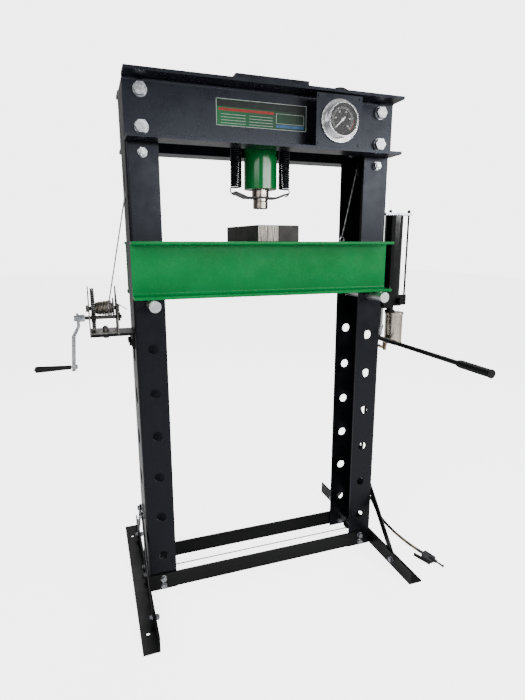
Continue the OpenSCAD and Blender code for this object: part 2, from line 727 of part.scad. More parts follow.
module crank_grip() {
  color(black) translate([crank_hub - 137, pinion_y, pinion_z - crank_len]) rotate([0, 90, 0]) rotate_extrude()
    polygon([[4.1, 0], [8, 0], [10.5, 3], [10.5, 10], [7, 104], [7.5, 110], [4.1, 110]]);
}

pawl_y = pinion_y + 20;
pawl_z = pinion_z + 34;
module ratchet_pawl() {
  color(steel) difference() {
    translate([side_r + seat_gap, pawl_y, pawl_z]) rotate([90, 0, 90]) linear_extrude(5)
      polygon([[7, 6], [-5, 8], [-18, -14], [-16, -19], [-12, -16], [6, -6]]);
    rod_x(6 + 2 * run_gap, side_r - 1, side_r + 8, pawl_y, pawl_z);
  }
  color(zinc) bar_between([side_r + 4, pawl_y + 5.5, pawl_z + 5], [side_r + 32, pawl_y + 14, pawl_z - 16], 3);
}

// ---------- pulleys and wire ropes ----------

pulley_w = 12;
top_r = 25;                          // groove of the upper pulleys
low_r = 18;                          // groove of the lower pulleys
top_run = top_r + rope_d / 2 + seat_gap;
low_run = low_r + rope_d / 2 + seat_gap;
low_rope_x = bolt_x + low_run;
top_c = [bolt_x, axle_z];
low_c = [bolt_x, low_axle_z];
eye_p = [spacer_x, eye_z + 13];
lug_p = [low_rope_x, lug_z - seat_gap];
drum_p = [-side_r + 30, drum_z];

module pulley(x, z, r, axle) {
  translate([x, 0, z]) rotate([90, 0, 0]) translate([0, 0, -pulley_w / 2]) rotate_extrude()
    polygon([[axle / 2 + run_gap, 0], [r + 7, 0], [r + 7, 2], [r, pulley_w / 2 - 2], [r, pulley_w / 2 + 2],
             [r + 7, pulley_w - 2], [r + 7, pulley_w], [axle / 2 + run_gap, pulley_w]]);
}
module top_right_pulley() { color(steel) pulley(bolt_x, axle_z, top_r, m16); }
module top_left_pulley() { color(steel) pulley(-bolt_x, axle_z, top_r, m16); }
module bottom_right_pulley() { color(steel) pulley(bolt_x, low_axle_z, low_r, m12); }
module bottom_left_pulley() { color(steel) pulley(-bolt_x, low_axle_z, low_r, m12); }

arc_gap = 0.3;               // angle left free at each end of a rope's arc

// An arc of rope round a pulley on the right-hand side
module rope_arc(c, r, from, to) {
  translate([c[0], 0, c[1]]) rotate([90, 0, 0]) rotate(from + arc_gap)
    rotate_extrude(angle = to - from - 2 * arc_gap) translate([r, 0]) circle(d = rope_d);
}
function xz(p, y) = [p[0], y, p[1]];

eye_touch = touch(top_c, top_run, eye_p, -1);
drum_touch = touch(top_c, top_run, drum_p, 1);
up_touch = touch(top_c, top_run, [low_rope_x, low_axle_z], 1);

module lift_rope() {
  color(zinc) mirror([1, 0, 0]) {
    bar_between([drum_p[0], drum_y - wound_d / 2 - rope_d / 2 - seat_gap, drum_z], xz(drum_touch, 0), rope_d);
    rope_arc(top_c, top_run, turn_angle(top_c, drum_touch), 180);
  }
}

// The left bed rope drops straight to the lug, the right one slants to its eye bolt
module bed_ropes() {
  color(zinc) {
    rod_z(rope_d, top_run - bolt_x, 0, lug_z + 12 + seat_gap, axle_z);
    bar_between(xz(eye_p, 0), xz(eye_touch, 0), rope_d);
  }
}
module level_rope() {
  color(zinc) {
    bar_between(xz([low_rope_x, low_axle_z], 0), xz(up_touch, 0), rope_d);
    rope_arc(top_c, top_run, turn_angle(top_c, up_touch), turn_angle(top_c, eye_touch));
    for (mx = [0, 1]) mirror([mx, 0, 0]) rope_arc(low_c, low_run, -90, 0);
    rod_x(rope_d, -bolt_x, bolt_x, 0, low_axle_z - low_run);
  }
}
module left_level_rope() { color(zinc) rod_z(rope_d, -low_rope_x, 0, low_axle_z, lug_p[1]); }

// ---------- air-over-oil pump ----------

module pump_bracket() {
  color(black) difference() {
    union() {
      block(post_x, post_x + 6, -45, 45, bracket_z - 46, bracket_z);
      block(post_x, block_l + 30, -45, 12, bracket_z - 6, bracket_z);
    }
    for (y = [-30, 30]) rod_x(m12 + 2 * bolt_gap, post_x - 1, post_x + 7, y, bracket_z - 26);
    block(lever_x - 11, block_l + 31, -11, 13, bracket_z - 7, bracket_z + 1);
  }
  color(zinc) for (y = [-30, 30]) side_bolt(y, bracket_z - 26, post_x + 6, 6 + post_wall);
}
module oil_reservoir() {
  color(black) translate([tank_x, 0, block_top]) ring(tank_d, tank_d - 8, tank_len);
}
module reservoir_cap() {
  color(zinc) difference() {
    block(block_l - 4, tie_x + 9, -20, 20, tank_top, tank_top + 9);
    for (x = [tank_x - 19, tie_x]) rod_z(9, x, 0, tank_top - 1, tank_top + 10);
  }
  color(black) for (x = [tank_x - 19, tie_x]) {
    rod_z(8, x, 0, block_top, tank_top + 9);
    translate([x, 0, tank_top + 9]) cylinder(d = 15, h = 8, $fn = 6);
    translate([x, 0, tank_top + 17]) sphere(d = 11);
  }
}
module pump_block() {
  color(black) difference() {
    union() {
      block(block_l, block_r, -block_y, block_y, block_z, block_top);
      block(block_r - 1, tie_x, -9, 9, block_z, block_top);
      rod_z(18, tie_x, 0, block_z, block_top);
      rod_z(29, motor_x - 23, 0, block_z - 20, block_z);
      rod_z(42, motor_x - 23, 0, block_z - 30, block_z - 20);
      rod_y(30, knob_x, -block_y - 6, -block_y, block_z + 21);
      for (x = [lever_x - 10, lever_x + 5]) difference() {
        block(x, x + 5, pivot_y - 11, pivot_y + 11, lever_z - 9, block_z);
        rod_x(8 + 2 * thread_gap, x - 1, x + 6, pivot_y, lever_z);
      }
    }
    rod_z(16 + 2 * run_gap, lever_x, 0, block_z - 31, block_z + 30);
    rod_y(10 + 2 * run_gap, knob_x, -block_y - 7, -block_y + 20, block_z + 21);
  }
  color(zinc) rod_x(8, lever_x - 13, lever_x + 13, pivot_y, lever_z);
}
module pump_plunger() {
  color(zinc) {
    translate([lever_x, 0, lever_z + 10 + seat_gap]) rotate_extrude()
      polygon([[0, 0], [2, 0], [8, 6], [8, 30], [12, 30], [12, 48], [8, 48],
               [8, block_z + 8 - lever_z - 10 - seat_gap], [0, block_z + 8 - lever_z - 10 - seat_gap]]);
  }
}
module air_motor() {
  color("silver") {
    rod_z(motor_d, motor_x, 0, motor_top - motor_h, motor_top - 8);
    rod_z(motor_d + 6, motor_x, 0, motor_top - 8, motor_top);
    rod_z(motor_d + 4, motor_x, 0, motor_top - motor_h - 6, motor_top - motor_h);
  }
}
socket_len = 110;
grip_len = 137;
grip_y = pivot_y - lever_len;
module pump_lever() {
  color(black) difference() {
    union() {
      rod_y(20, lever_x, -socket_len, -4, lever_z);
      block(lever_x - 4.7, lever_x + 4.7, -5, pivot_y + 9, lever_z - 9, lever_z + 9);
      rod_y(17, lever_x, grip_y + 6, -socket_len, lever_z);
    }
    rod_x(8 + 2 * run_gap, lever_x - 10, lever_x + 10, pivot_y, lever_z);
  }
}
module lever_grip() {
  color(black) translate([lever_x, grip_y, lever_z]) rotate([-90, 0, 0]) difference() {
    union() {
      cylinder(d = 27, h = grip_len);
      translate([0, 0, grip_len]) cylinder(d1 = 27, d2 = 21, h = 14);
      cylinder(d = 29, h = 6);
    }
    translate([0, 0, 5]) cylinder(d = 17 + 2 * thread_gap, h = grip_len + 20);
  }
}
module release_valve() {
  color(black) {
    rod_y(10, knob_x, -block_y - 24, -block_y + 15, block_z + 21);
    translate([knob_x, -block_y - 8, block_z + 21]) rotate([90, 0, 0]) difference() {
      cylinder(d = 26, h = 16);
      for (a = [0 : 45 : 315]) rotate(a) translate([14.5, 0, -1]) cylinder(d = 6, h = 18);
    }
  }
}

fit_x = motor_x - 28;
fit_y = 15;
fit_z = motor_top - motor_h - 6;
module air_fitting() {
  color(brass_yellow) {
    translate([fit_x, fit_y, fit_z - 14]) cylinder(d = 22, h = 14, $fn = 6);
    rod_z(15, fit_x, fit_y, fit_z - 34, fit_z - 14);
    rod_y(13, fit_x, fit_y, fit_y + 28, fit_z - 24);
  }
}

air_hose_d = 12;
air_route = [[fit_x, fit_y + 28.7, fit_z - 24], [fit_x, fit_y + 48, fit_z - 24], [574, 90.5, 848.6],
             [574, 110.6, 828.5], [575, 119, 801], [575.5, 123, 765], [576, 131, 690], [577, 146, 560],
             [579, 160, 420], [581, 174, 280], [582, 190, 160], [583, 206, 92], [584, 232, 44], [585, 262, 16],
             [586.5, 286, 7.5], [588, 306, 6.3], [595, 332, 6.3], [614, 351, 6.3], [640, 358, 6.3],
             [666, 351, 6.3], [685, 332, 6.3], [692, 306, 6.3], [691, 270, 6.3], [684, 225, 6.3], [671, 180, 6.3],
             [655, 135, 6.3], [640, 84, 6.3], [628, 10, 6.3], [625, -80, 6.3], [629, -160, 8], [633.4, -205, 11],
             [636.9, -221.6, 11]];
module air_hose() { color(black) tube(smooth(air_route, 3), air_hose_d, 8, [1, 0.02, 0.3]); }

valve_turn = 12;
valve_p = [637, -222, 11];
module at_valve() { translate(valve_p) rotate([0, 0, valve_turn]) children(); }
module air_valve() {
  color("silver") at_valve() {
    rod_y(13, 0, -31, 0, 0);
    block(-12, 13, -84, -30, -11, 11);
    for (z = [-8, 4.5]) block(-24, -11, -84, -76, z, z + 3.5);
    rod_z(4, -21, -80, -8, 8);
    rod_y(14, 2, -96, -84, 0);
    rod_y(8, 2, -126, -96, 0);
    rod_y(11, 2, -131, -126, 0);
  }
}
module valve_trigger() {
  color(black) at_valve() difference() {
    union() {
      translate([0, 0, -7]) linear_extrude(14) polygon([[-31, -89], [-26, -89], [-35, -13], [-40, -13]]);
      translate([0, 0, -4]) linear_extrude(8) polygon([[-29, -84], [-18, -84], [-17, -76], [-29, -76]]);
    }
    rod_z(4 + 2 * run_gap, -21, -80, -8, 8);
  }
}

// ---------- assembly ----------

left_upright();
right_upright();
front_crown_beam();
rear_crown_beam();
crown_plates();
crown_bolts();
tie_rails();
left_foot();
right_foot();
foot_braces();
frame_bolts();
gauge_panel();
gauge_case();
gauge_dial();
gauge_pointer();
gauge_lens();
gauge_tube();
data_plate();
cylinder_barrel();
cylinder_gland();
piston();
ram_rod();
ram_nose();
spring_bar();
return_springs();
hydraulic_hose();
front_bed_channel();
rear_bed_channel();
bed_spacers();
press_plates();
left_bed_pin();
right_bed_pin();
winch_bracket();
winch_frame();
winch_drum();
winch_pinion();
winch_crank();
crank_grip();
ratchet_pawl();
lift_rope();
bed_ropes();
level_rope();
left_level_rope();
top_left_pulley();
top_right_pulley();
bottom_left_pulley();
bottom_right_pulley();
pump_bracket();
oil_reservoir();
reservoir_cap();
pump_block();
pump_plunger();
air_motor();
pump_lever();
lever_grip();
release_valve();
air_fitting();
air_hose();
air_valve();
valve_trigger();
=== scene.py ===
import json
import math
import bpy
from mathutils import Matrix, Vector


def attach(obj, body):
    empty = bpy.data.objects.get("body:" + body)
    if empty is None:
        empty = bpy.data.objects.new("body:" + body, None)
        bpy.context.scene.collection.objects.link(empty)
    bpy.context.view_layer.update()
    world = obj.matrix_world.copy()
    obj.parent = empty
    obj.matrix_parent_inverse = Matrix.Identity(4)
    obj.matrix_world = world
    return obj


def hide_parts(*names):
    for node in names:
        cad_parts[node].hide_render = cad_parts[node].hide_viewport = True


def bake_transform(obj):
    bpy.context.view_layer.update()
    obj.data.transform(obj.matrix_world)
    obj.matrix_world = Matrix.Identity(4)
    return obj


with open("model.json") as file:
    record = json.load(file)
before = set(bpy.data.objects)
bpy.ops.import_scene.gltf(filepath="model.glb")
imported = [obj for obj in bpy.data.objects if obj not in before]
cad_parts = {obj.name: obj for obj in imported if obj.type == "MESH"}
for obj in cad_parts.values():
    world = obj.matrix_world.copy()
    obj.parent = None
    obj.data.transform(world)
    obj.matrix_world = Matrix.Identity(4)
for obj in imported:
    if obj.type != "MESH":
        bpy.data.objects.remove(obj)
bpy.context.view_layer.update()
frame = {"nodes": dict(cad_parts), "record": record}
mm = 0.001
print("frame loaded")

# camera

camera = {"place": (-0.613, -1.755, 1.297), "pitch": 77.65, "turn": -19.49, "lens": 25.06}
bpy.ops.object.select_all(action="DESELECT")
bpy.ops.object.camera_add(location=camera["place"],
                          rotation=(math.radians(camera["pitch"]), 0, math.radians(camera["turn"])))
sceneCamera = bpy.context.object
sceneCamera.data.lens = camera["lens"]
sceneCamera.data.sensor_width = 36
bpy.context.scene.camera = sceneCamera


def hexColor(code):
    parts = [int(code[i:i + 2], 16) / 255 for i in (1, 3, 5)]
    return tuple(p / 12.92 if p <= 0.04045 else ((p + 0.055) / 1.055) ** 2.4 for p in parts) + (1,)


def addNode(tree, kind, settings=None, links=None, stops=()):
    # stops are a colour ramp's (place, hex) pairs
    node = tree.nodes.new(kind)
    for i, (stop, code) in enumerate(stops):
        node.color_ramp.elements[i].position = stop
        node.color_ramp.elements[i].color = hexColor(code)
    for key, value in (settings or {}).items():
        if isinstance(key, str) and hasattr(node, key):
            setattr(node, key, value)
        else:
            node.inputs[key].default_value = value
    for key, source in (links or {}).items():
        tree.links.new(source, node.inputs[key])
    return node


def newMaterial(name, base, metallic=0.0, roughness=0.4, **sockets):
    material = bpy.data.materials.new(name)
    material.use_nodes = True
    tree = material.node_tree
    shader = tree.nodes["Principled BSDF"]
    shader.inputs["Base Color"].default_value = hexColor(base)
    shader.inputs["Metallic"].default_value = metallic
    shader.inputs["Roughness"].default_value = roughness
    for key, value in sockets.items():
        shader.inputs[key].default_value = value
    coordinates = addNode(tree, "ShaderNodeTexCoord")
    return material, tree, shader, coordinates.outputs["Object"]


def blotches(tree, place, size, detail=2.0, stretch=(1, 1, 1)):
    # soft noise whose patches are about size metres across
    mapping = addNode(tree, "ShaderNodeMapping", {"Scale": stretch}, {"Vector": place})
    noise = addNode(tree, "ShaderNodeTexNoise", {"Scale": 1 / size, "Detail": detail},
                    {"Vector": mapping.outputs["Vector"]})
    return noise.outputs["Fac"]


def dress(tree, shader, colour=None, roughness=None, bump=None):
    # colour is (pattern, stops), roughness is (pattern, low, high) and bump is (pattern, strength, depth)
    if colour:
        ramp = addNode(tree, "ShaderNodeValToRGB", links={"Fac": colour[0]}, stops=colour[1])
        tree.links.new(ramp.outputs["Color"], shader.inputs["Base Color"])
    if roughness:
        span = addNode(tree, "ShaderNodeMapRange",
                       {"From Min": 0.3, "From Max": 0.7, "To Min": roughness[1], "To Max": roughness[2]},
                       {"Value": roughness[0]})
        tree.links.new(span.outputs["Result"], shader.inputs["Roughness"])
    if bump:
        raised = addNode(tree, "ShaderNodeBump", {"Strength": bump[1], "Distance": bump[2]}, {"Height": bump[0]})
        tree.links.new(raised.outputs["Normal"], shader.inputs["Normal"])


def enamel(name, dark, light, low, high, peel=2.5 * mm, coat=0.1, shine=0.25, sheen="#ffffff"):
    # sprayed enamel on steel: a hard gloss over faint orange peel, a little cloudy where the coat thins
    material, tree, shader, place = newMaterial(name, dark, 0.0, low)
    shader.inputs["Coat Weight"].default_value = coat
    shader.inputs["Coat Roughness"].default_value = 0.15
    shader.inputs["Specular IOR Level"].default_value = shine
    shader.inputs["Specular Tint"].default_value = hexColor(sheen)
    dress(tree, shader, (blotches(tree, place, 180 * mm, 2), ((0.35, dark), (0.65, light))),
          (blotches(tree, place, 40 * mm, 4), low, high), (blotches(tree, place, peel, 1), 0.06, 0.1 * mm))
    return material


def metal(name, dark, light, low, high, grain=1.2 * mm, stretch=(1, 1, 1), strength=0.15):
    # bare or plated metal: patchy reflections and a fine grain
    material, tree, shader, place = newMaterial(name, dark, 1.0, low)
    dress(tree, shader, (blotches(tree, place, 14 * mm, 4), ((0.35, dark), (0.65, light))),
          (blotches(tree, place, 6 * mm, 5), low, high),
          (blotches(tree, place, grain, 3, stretch), strength, 0.05 * mm))
    return material


def moulded(name, dark, light, low, high, grain=1.5 * mm, shine=0.2):
    # moulded rubber or plastic: dull, fine pebbled skin
    material, tree, shader, place = newMaterial(name, dark, 0.0, low)
    shader.inputs["Specular IOR Level"].default_value = shine
    dress(tree, shader, (blotches(tree, place, 20 * mm, 3), ((0.35, dark), (0.65, light))),
          (blotches(tree, place, 9 * mm, 3), low, high), (blotches(tree, place, grain, 2), 0.25, 0.1 * mm))
    return material


# paint: deep gloss on the frame, cloudier on the rolled beams, duller on small steelwork, bright green on bed and ram
postBlack = enamel("black gloss enamel on folded steel", "#050608", "#08090c", 0.28, 0.38, coat=0.0, shine=0.28,
                   sheen="#d8dff0")
# the blue tint in this enamel's dark base is a painted blue sheen on the crown, over its real black gloss
beamBlackBlueSheen = enamel("black gloss enamel on rolled beam, blue painted sheen", "#0a0c10", "#10131a", 0.24, 0.34, coat=0.0, shine=0.32,
                   sheen="#d8dff0")
smallBlack = enamel("black enamel on small steelwork", "#050506", "#08090a", 0.28, 0.42, coat=0.05, shine=0.18)
bedGreen = enamel("green gloss enamel", "#006c31", "#00763a", 0.22, 0.3, 3 * mm, 0.05, 0.14)
headGreen = enamel("green gloss enamel on turned steel", "#005c28", "#00652d", 0.1, 0.14, 3 * mm, 0.15, 0.4)
# bare and plated metal: bluish bright zinc, warm oiled steel, dark gear steel, tan dulled brass
zincBright = metal("bright zinc plate", "#8f9298", "#bfc2c6", 0.22, 0.4)
zincDull = metal("dull zinc plate", "#5f5e5a", "#8a8883", 0.34, 0.52)
pinSatin = metal("satin zinc on turned bar", "#b9bbbd", "#dcdddf", 0.34, 0.46)
steelGrey = metal("machined steel, oiled", "#3b3c3e", "#5b5c5f", 0.28, 0.45)
gearSteel = metal("gear steel, dark with oil", "#2c2b2a", "#4a4946", 0.32, 0.5)
ropeSteel = metal("galvanised wire", "#77787a", "#b3b4b6", 0.35, 0.5, 0.6 * mm)
ropeOiled = metal("galvanised wire, oiled and dusty", "#77716a", "#aaa49b", 0.36, 0.52, 0.6 * mm)
rodSteel = metal("ground steel, warm with oil", "#8a8178", "#b3aaa0", 0.2, 0.32, 1.5 * mm, (1, 1, 1), 0.05)
chromePlate = metal("hard chrome", "#d6d7d9", "#e2e3e4", 0.12, 0.2, 2 * mm, (1, 1, 1), 0.02)
motorAlloy = metal("turned aluminium", "#e4dacb", "#efe6d8", 0.2, 0.3, 2 * mm, (1, 1, 14), 0.06)
valveSteel = metal("dark plated steel", "#4a4b4e", "#77797d", 0.25, 0.4)
brassTurned = metal("turned brass, dulled", "#86765a", "#b0a184", 0.25, 0.4)
tankBlack = enamel("black gloss enamel on drawn tube", "#060708", "#0a0b0d", 0.1, 0.16, coat=0.4, shine=0.5)
springBlack = metal("blackened spring wire", "#16171a", "#2c2e32", 0.2, 0.32)
# rubber, plastic and printed sheet: dull blacks, flat inks
hoseRubber = moulded("black hose rubber", "#070708", "#0e0f10", 0.42, 0.6)
gripPlastic = moulded("black moulded plastic", "#070708", "#0d0d0f", 0.35, 0.55)
dialBlack = moulded("printed dial black", "#050506", "#08080a", 0.5, 0.6, shine=0.06)
dialWhite = moulded("printed dial white", "#e2e2de", "#f0f0ec", 0.5, 0.6)
dialRed = moulded("printed dial red", "#8e1616", "#a51f1c", 0.5, 0.6)
plateDark = moulded("printed sheet, dark", "#0f1513", "#171f1c", 0.4, 0.5)
plateRed = moulded("printed sheet, red", "#7c1f1f", "#8c2626", 0.4, 0.5)
platePale = moulded("printed sheet, pale", "#9aa09c", "#b9bfbb", 0.4, 0.5)
plateBlue = moulded("printed sheet, blue", "#2c4f74", "#38628c", 0.4, 0.5)

# printed sheet: green at the lower left fading to near black at the upper right
plateSheet, sheetTree, sheetShader, sheetPlace = newMaterial("printed sheet, green to black", "#0c2a1a", 0.0, 0.35)
sheetMap = addNode(sheetTree, "ShaderNodeMapping", {"Location": (-2.5, 0, 0), "Rotation": (0, math.radians(35), 0),
                                                    "Scale": (3.1, 3.1, 3.1)}, {"Vector": sheetPlace})
sheetFade = addNode(sheetTree, "ShaderNodeTexGradient", links={"Vector": sheetMap.outputs["Vector"]})
sheetShader.inputs["Specular IOR Level"].default_value = 0.2
dress(sheetTree, sheetShader, (sheetFade.outputs["Color"], ((0.0, "#0f5a30"), (0.9, "#121b18"))),
      (blotches(sheetTree, sheetPlace, 30 * mm), 0.3, 0.4))

# hose rubber dulled to a dusty tan, on the stretch by the air valve
hoseDusty, dustyTree, dustyShader, dustyPlace = newMaterial("hose rubber, dusty", "#17150f", 0.0, 0.6)
dress(dustyTree, dustyShader, (blotches(dustyTree, dustyPlace, 25 * mm, 3), ((0.35, "#4f4637"), (0.65, "#7d6f58"))),
      (blotches(dustyTree, dustyPlace, 12 * mm, 3), 0.5, 0.7))

# plain pale floor that looks evenly bright but casts little light back up
floorPale, floorTree, floorShader = newMaterial("pale floor", "#f7f7f7", 0.0, 0.7)[:3]
floorShader.inputs["Emission Color"].default_value = hexColor("#ffffff")
floorGlow = {"seen": 3.8, "cast": 0.08}
floorSight = addNode(floorTree, "ShaderNodeLightPath")
floorSpan = addNode(floorTree, "ShaderNodeMapRange", {"To Min": floorGlow["cast"], "To Max": floorGlow["seen"]},
                    {"Value": floorSight.outputs["Is Camera Ray"]})
floorTree.links.new(floorSpan.outputs["Result"], floorShader.inputs["Emission Strength"])

# flat gauge glass, all but clear
lensGlass, lensTree, lensShader, lensPlace = newMaterial("gauge glass", "#ffffff", 0.0, 0.02, Alpha=0.03)
lensShader.inputs["Specular IOR Level"].default_value = 0.15
dress(lensTree, lensShader, roughness=(blotches(lensTree, lensPlace, 30 * mm), 0.01, 0.04))

# flame-cut bar ends: bright steel with upright drag lines in dark and bright streaks
millScale = enamel("mill scale on hot-rolled bar", "#14110f", "#1f1b18", 0.35, 0.55, 2 * mm, 0.0, 0.3)
flameCut, flameTree, flameShader, flamePlace = newMaterial("flame-cut steel", "#8b8b8b", 1.0, 0.4)
dress(flameTree, flameShader,
      (blotches(flameTree, flamePlace, 2 * mm, 3, (1, 1, 0.04)), ((0.34, "#191817"), (0.72, "#a8a29b"))),
      bump=(blotches(flameTree, flamePlace, 1.6 * mm, 2, (1, 1, 0.03)), 0.8, 0.8 * mm))
print("materials made")

# room and lights

bpy.ops.object.select_all(action="DESELECT")
bpy.ops.mesh.primitive_plane_add(size=30, location=(0, 5, -0.0005))
floor = bpy.context.object
floor.name = "floor"
floor.data.materials.append(floorPale)

world = bpy.data.worlds.new("pale room")
bpy.context.scene.world = world
world.use_nodes = True
backdrop = world.node_tree.nodes["Background"]
backdrop.inputs["Color"].default_value = hexColor("#ffffff")
roomLight = {"seen": 4.5, "cast": 0.32}
sight = addNode(world.node_tree, "ShaderNodeLightPath")
span = addNode(world.node_tree, "ShaderNodeMapRange", {"To Min": roomLight["cast"], "To Max": roomLight["seen"]},
               {"Value": sight.outputs["Is Camera Ray"]})
world.node_tree.links.new(span.outputs["Result"], backdrop.inputs["Strength"])

# each soft box: place, aim, width, height, power
softBoxes = [((-2.6, -2.6, 3.2), (0, 0, 1.1), 2.6, 2.6, 100), ((2.8, -2.2, 2.4), (0, 0, 1.0), 0.9, 1.8, 55),
             ((0.5, 2.6, 3.4), (0, 0, 1.0), 2.4, 2.4, 60), ((1.9, -4.2, 2.0), (0.4, 0, 1.5), 4.2, 0.6, 130)]
for place, aim, width, height, power in softBoxes:
    bpy.ops.object.light_add(type="AREA", location=place)
    lamp = bpy.context.object
    lamp.data.shape = "RECTANGLE"
    lamp.visible_camera = False
    lamp.data.size, lamp.data.size_y, lamp.data.energy = width, height, power
    lamp.rotation_euler = (Vector(place) - Vector(aim)).to_track_quat("Z", "Y").to_euler()

# picking, joining and placing pieces


def selectOnly(piece):
    bpy.ops.object.select_all(action="DESELECT")
    piece.select_set(True)
    bpy.context.view_layer.objects.active = piece


def joined(name, parts):
    bpy.ops.object.select_all(action="DESELECT")
    for part in parts:
        part.select_set(True)
    bpy.context.view_layer.objects.active = parts[0]
    bpy.ops.object.join()
    bpy.context.object.name = name
    return bpy.context.object


def placed(piece):
    selectOnly(piece)
    bpy.ops.object.transform_apply(location=True, rotation=True, scale=True)
    return piece


# swept tubes: hoses, ropes and springs


def curvePoints(route, steps):
    # smooth curve through given points
    def pick(i):
        return Vector(route[max(0, min(i, len(route) - 1))])
    points = []
    for i in range(len(route) - 1):
        a, b, c, d = pick(i - 1), pick(i), pick(i + 1), pick(i + 2)
        for j in range(steps):
            t = j / steps
            points.append(0.5 * ((2 * b) + (c - a) * t + (2 * a - 5 * b + 4 * c - d) * t * t
                                 + (3 * b - a - 3 * c + d) * t * t * t))
    return points + [pick(len(route) - 1)]


def sweepTube(name, points, radius, sides, material, lobes=0, lay=0.02):
    # radius is one number or one for each point; lobes and lay give a laid rope's strands
    points = [Vector(p) for p in points]
    radii = radius if isinstance(radius, list) else [radius] * len(points)
    tangent = (points[1] - points[0]).normalized()
    side = tangent.orthogonal().normalized()
    vertices, faces, travelled = [], [], 0.0
    for i, point in enumerate(points):
        ahead = points[min(i + 1, len(points) - 1)] - points[max(i - 1, 0)]
        ahead.normalize()
        side = (tangent.rotation_difference(ahead) @ side)
        side = (side - ahead * side.dot(ahead)).normalized()
        tangent = ahead
        other = ahead.cross(side)
        if i:
            travelled += (point - points[i - 1]).length
        twist = 2 * math.pi * travelled / lay if lobes else 0
        for k in range(sides):
            angle = 2 * math.pi * k / sides
            reach = radii[i] * (1 - 0.13 * (1 - math.cos(lobes * angle)) if lobes else 1)
            vertices.append(point + reach * (math.cos(angle + twist) * side + math.sin(angle + twist) * other))
    for i in range(len(points) - 1):
        for k in range(sides):
            n = (k + 1) % sides
            faces.append((i * sides + k, i * sides + n, (i + 1) * sides + n, (i + 1) * sides + k))
    faces.append(tuple(range(sides - 1, -1, -1)))
    faces.append(tuple((len(points) - 1) * sides + k for k in range(sides)))
    mesh = bpy.data.meshes.new(name)
    mesh.from_pydata([tuple(v) for v in vertices], [], faces)
    mesh.materials.append(material)
    mesh.update()
    piece = bpy.data.objects.new(name, mesh)
    bpy.context.collection.objects.link(piece)
    selectOnly(piece)
    bpy.ops.object.shade_smooth_by_angle(angle=math.radians(50))
    return piece


airHose = {"diameter": 12 * mm, "steps": 12}
airRoute = [[574, 43.7, 856], [574, 63, 856], [574, 90.5, 848.6],
            [574, 110.6, 828.5], [575, 119, 801], [575.5, 123, 765], [576, 131, 690], [577, 146, 560],
            [579, 160, 420], [581, 174, 280], [582, 190, 160], [583, 206, 92], [584, 232, 44], [585, 262, 16],
            [586.5, 286, 7.5], [588, 306, 6.3], [595, 332, 6.3], [614, 351, 6.3], [640, 358, 6.3],
            [666, 351, 6.3], [685, 332, 6.3], [692, 306, 6.3], [691, 270, 6.3], [684, 225, 6.3], [671, 180, 6.3],
            [655, 135, 6.3], [640, 84, 6.3], [628, 10, 6.3], [625, -80, 6.3], [629, -160, 8], [633.4, -205, 11],
            [636.9, -221.6, 11]]
airPoints = curvePoints([tuple(c * mm for c in p) for p in airRoute], airHose["steps"])
airTube = sweepTube("airHoseTube", airPoints, airHose["diameter"] / 2, 16, hoseRubber)
airTube.data.materials.append(hoseDusty)
for face in airTube.data.polygons:
    if face.center.y < -0.06 and face.center.z < 0.03:
        face.material_index = 1
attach(airTube, "frame")
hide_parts("air_hose")

# CAD nodes that keep their shape: merged copies with worn edges and a finish

finishes = {
    "left_upright": (postBlack, 0.8), "right_upright": (postBlack, 0.8), "front_crown_beam": (beamBlackBlueSheen, 1.2),
    "rear_crown_beam": (beamBlackBlueSheen, 1.2), "crown_plates": (beamBlackBlueSheen, 1.0), "crown_bolts": (zincBright, 0.9),
    "tie_rails": (smallBlack, 0.8), "left_foot": (smallBlack, 1.0), "right_foot": (smallBlack, 1.0),
    "foot_braces": (smallBlack, 0.7), "frame_bolts": (zincBright, 0.6), "gauge_panel": (beamBlackBlueSheen, 0.4),
    "gauge_case": (chromePlate, 0.8), "gauge_tube": (brassTurned, 0.4),
    "cylinder_barrel": (headGreen, 1.2), "cylinder_gland": (headGreen, 0.6), "piston": (steelGrey, 0.5),
    "ram_rod": (rodSteel, 0.5), "ram_nose": (rodSteel, 0.5), "spring_bar": (smallBlack, 0.8),
    "front_bed_channel": (bedGreen, 1.2), "rear_bed_channel": (bedGreen, 1.2), "bed_spacers": (bedGreen, 0.8),
    "press_plates": (millScale, 1.2), "left_bed_pin": (pinSatin, 1.5), "right_bed_pin": (pinSatin, 1.5),
    "winch_bracket": (smallBlack, 0.8), "winch_frame": (zincDull, 0.6), "winch_drum": (zincDull, 0.4),
    "winch_pinion": (gearSteel, 0.3), "winch_crank": (zincBright, 1.0), "crank_grip": (gripPlastic, 0.8),
    "ratchet_pawl": (zincDull, 0.4), "top_left_pulley": (steelGrey, 0.4), "top_right_pulley": (steelGrey, 0.4),
    "bottom_left_pulley": (steelGrey, 0.4), "bottom_right_pulley": (steelGrey, 0.4),
    "pump_bracket": (smallBlack, 0.8), "oil_reservoir": (tankBlack, 0.6), "reservoir_cap": (zincBright, 0.8),
    "pump_block": (smallBlack, 1.0), "pump_plunger": (chromePlate, 0.6), "air_motor": (motorAlloy, 1.2),
    "pump_lever": (smallBlack, 0.8), "lever_grip": (gripPlastic, 0.8), "release_valve": (smallBlack, 0.8),
    "air_fitting": (brassTurned, 0.4), "air_valve": (valveSteel, 1.0), "valve_trigger": (gripPlastic, 0.8),
    "gauge_pointer": (dialWhite, 0.1),
}
nodeBody = {node: body for body, nodes in frame["record"]["behaviour"]["bodies"].items() for node in nodes}
pieceOf = {}


